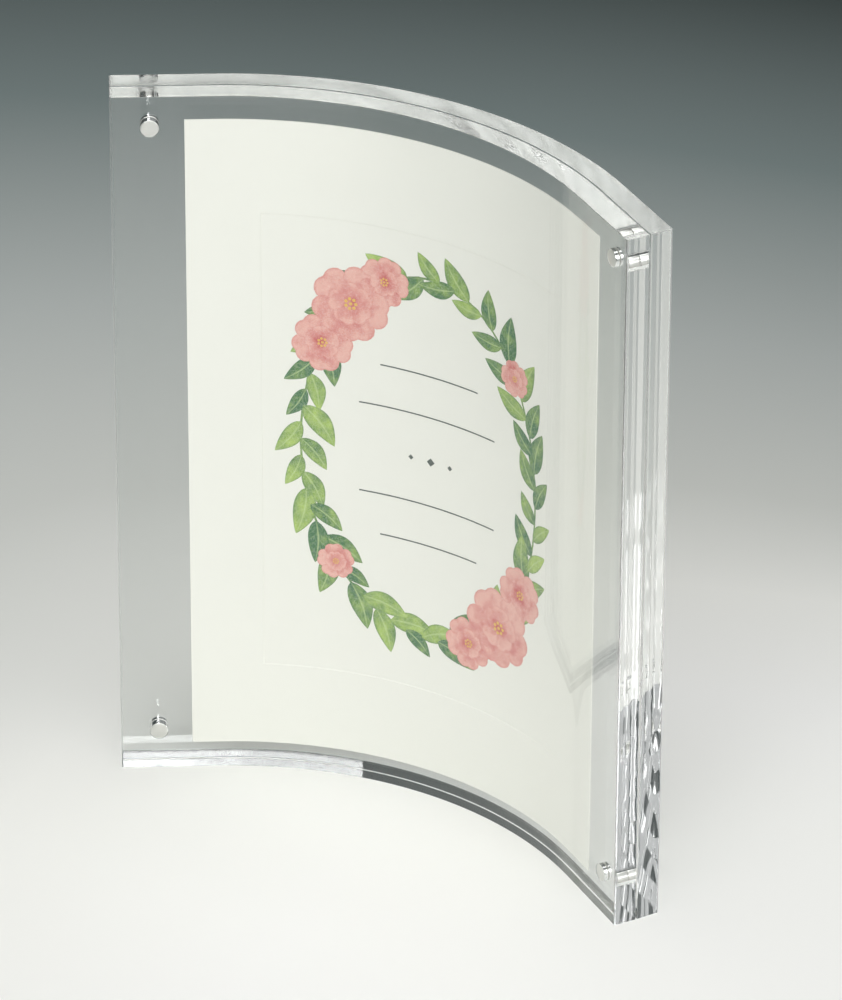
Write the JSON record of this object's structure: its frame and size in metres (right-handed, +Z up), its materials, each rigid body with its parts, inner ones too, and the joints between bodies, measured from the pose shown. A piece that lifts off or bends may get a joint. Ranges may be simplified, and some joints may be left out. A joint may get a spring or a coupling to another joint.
{
  "type": "curved acrylic sign holder",
  "caption": "Free-standing curved sign holder: two clear bent acrylic panels that nest, drawn together by corner magnets, with a printed card in the slot between them.",
  "frame": {"origin": "on the surface that the holder stands on, in the middle of its width and depth", "axes": "+X to the viewer's right, +Y to the back (the concave side faces -Y), +Z up"},
  "size_m": [0.1628, 0.0424, 0.198],
  "materials": {
    "clear_acrylic": "clear, polished faces and edges",
    "nickel_plate": "bright nickel plate",
    "ivory_card": "matt ivory card stock, printed on the front"
  },
  "bodies": {
    "rear_half": {"rear_panel": "clear_acrylic", "rear_magnet_top_left": "nickel_plate", "rear_magnet_top_right": "nickel_plate", "rear_magnet_bottom_left": "nickel_plate", "rear_magnet_bottom_right": "nickel_plate"},
    "front_half": {"front_panel": "clear_acrylic", "front_magnet_top_left": "nickel_plate", "front_magnet_top_right": "nickel_plate", "front_magnet_bottom_left": "nickel_plate", "front_magnet_bottom_right": "nickel_plate"},
    "card": {"insert_card": "ivory_card"}
  },
  "joints": [
    {"name": "front_pull", "type": "slide", "parent": "rear_half", "child": "front_half", "axis": [0, -1, 0], "range_m": [0, 0.06]},
    {"name": "card_lift", "type": "slide", "parent": "rear_half", "child": "card", "axis": [0, 0, 1], "range_m": [0, 0.2]}
  ]
}
